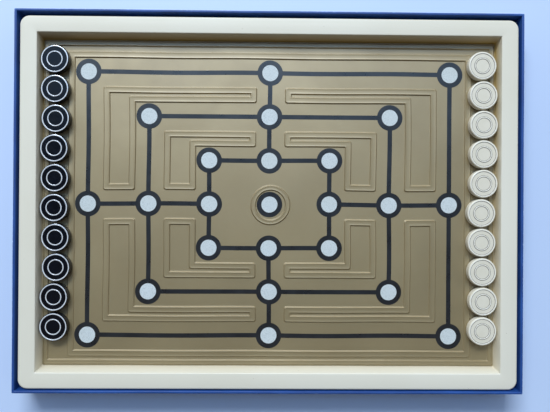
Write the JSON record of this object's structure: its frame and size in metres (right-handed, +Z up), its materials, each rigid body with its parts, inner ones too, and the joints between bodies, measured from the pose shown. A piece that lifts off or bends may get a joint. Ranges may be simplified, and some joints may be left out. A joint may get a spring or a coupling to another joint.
{
  "type": "nine mens morris box",
  "caption": "Open paper-covered board box with a moulded tray, an embossed metallic morris board and rows of ringed black and ivory playing pieces.",
  "frame": {"origin": "middle of the box's underside", "axes": "+X along the box's long side towards the ivory pieces, +Y to the back of the box (the top of the picture), +Z up out of the open box"},
  "size_m": [0.4, 0.3, 0.03],
  "materials": {
    "greyboard": "uncoated",
    "tape": "matte",
    "blue_paper": "semi-matte, scuffed edges",
    "cream_plastic": "satin",
    "gold_sheet": "satin metallic",
    "black_ink": "semi-matte",
    "white_ink": "semi-matte",
    "black_plastic": "gloss",
    "ivory_plastic": "gloss"
  },
  "bodies": {
    "box_base": {"chipboard_tray": "greyboard", "corner_stays": "tape", "blue_wrap": "blue_paper"},
    "tray": {"insert_tray": "cream_plastic"},
    "board": {"board_sheet": "gold_sheet", "line_print": "black_ink", "spot_print": "white_ink"},
    "black_piece_01": {"black_piece_01": "black_plastic"},
    "black_piece_02": {"black_piece_02": "black_plastic"},
    "black_piece_03": {"black_piece_03": "black_plastic"},
    "black_piece_04": {"black_piece_04": "black_plastic"},
    "black_piece_05": {"black_piece_05": "black_plastic"},
    "black_piece_06": {"black_piece_06": "black_plastic"},
    "black_piece_07": {"black_piece_07": "black_plastic"},
    "black_piece_08": {"black_piece_08": "black_plastic"},
    "black_piece_09": {"black_piece_09": "black_plastic"},
    "black_piece_10": {"black_piece_10": "black_plastic"},
    "white_piece_01": {"white_piece_01": "ivory_plastic"},
    "white_piece_02": {"white_piece_02": "ivory_plastic"},
    "white_piece_03": {"white_piece_03": "ivory_plastic"},
    "white_piece_04": {"white_piece_04": "ivory_plastic"},
    "white_piece_05": {"white_piece_05": "ivory_plastic"},
    "white_piece_06": {"white_piece_06": "ivory_plastic"},
    "white_piece_07": {"white_piece_07": "ivory_plastic"},
    "white_piece_08": {"white_piece_08": "ivory_plastic"},
    "white_piece_09": {"white_piece_09": "ivory_plastic"},
    "white_piece_10": {"white_piece_10": "ivory_plastic"}
  },
  "joints": [
    {"name": "tray_lift", "type": "slide", "parent": "box_base", "child": "tray", "axis": [0, 0, 1], "range_m": [0, 0.05]},
    {"name": "board_lift", "type": "slide", "parent": "tray", "child": "board", "axis": [0, 0, 1], "range_m": [0, 0.04]},
    {"name": "black_piece_01_lift", "type": "slide", "parent": "board", "child": "black_piece_01", "axis": [0, 0, 1], "range_m": [0, 0.04]},
    {"name": "black_piece_02_lift", "type": "slide", "parent": "board", "child": "black_piece_02", "axis": [0, 0, 1], "range_m": [0, 0.04]},
    {"name": "black_piece_03_lift", "type": "slide", "parent": "board", "child": "black_piece_03", "axis": [0, 0, 1], "range_m": [0, 0.04]},
    {"name": "black_piece_04_lift", "type": "slide", "parent": "board", "child": "black_piece_04", "axis": [0, 0, 1], "range_m": [0, 0.04]},
    {"name": "black_piece_05_lift", "type": "slide", "parent": "board", "child": "black_piece_05", "axis": [0, 0, 1], "range_m": [0, 0.04]},
    {"name": "black_piece_06_lift", "type": "slide", "parent": "board", "child": "black_piece_06", "axis": [0, 0, 1], "range_m": [0, 0.04]},
    {"name": "black_piece_07_lift", "type": "slide", "parent": "board", "child": "black_piece_07", "axis": [0, 0, 1], "range_m": [0, 0.04]},
    {"name": "black_piece_08_lift", "type": "slide", "parent": "board", "child": "black_piece_08", "axis": [0, 0, 1], "range_m": [0, 0.04]},
    {"name": "black_piece_09_lift", "type": "slide", "parent": "board", "child": "black_piece_09", "axis": [0, 0, 1], "range_m": [0, 0.04]},
    {"name": "black_piece_10_lift", "type": "slide", "parent": "board", "child": "black_piece_10", "axis": [0, 0, 1], "range_m": [0, 0.04]},
    {"name": "white_piece_01_lift", "type": "slide", "parent": "board", "child": "white_piece_01", "axis": [0, 0, 1], "range_m": [0, 0.04]},
    {"name": "white_piece_02_lift", "type": "slide", "parent": "board", "child": "white_piece_02", "axis": [0, 0, 1], "range_m": [0, 0.04]},
    {"name": "white_piece_03_lift", "type": "slide", "parent": "board", "child": "white_piece_03", "axis": [0, 0, 1], "range_m": [0, 0.04]},
    {"name": "white_piece_04_lift", "type": "slide", "parent": "board", "child": "white_piece_04", "axis": [0, 0, 1], "range_m": [0, 0.04]},
    {"name": "white_piece_05_lift", "type": "slide", "parent": "board", "child": "white_piece_05", "axis": [0, 0, 1], "range_m": [0, 0.04]},
    {"name": "white_piece_06_lift", "type": "slide", "parent": "board", "child": "white_piece_06", "axis": [0, 0, 1], "range_m": [0, 0.04]},
    {"name": "white_piece_07_lift", "type": "slide", "parent": "board", "child": "white_piece_07", "axis": [0, 0, 1], "range_m": [0, 0.04]},
    {"name": "white_piece_08_lift", "type": "slide", "parent": "board", "child": "white_piece_08", "axis": [0, 0, 1], "range_m": [0, 0.04]},
    {"name": "white_piece_09_lift", "type": "slide", "parent": "board", "child": "white_piece_09", "axis": [0, 0, 1], "range_m": [0, 0.04]},
    {"name": "white_piece_10_lift", "type": "slide", "parent": "board", "child": "white_piece_10", "axis": [0, 0, 1], "range_m": [0, 0.04]}
  ]
}
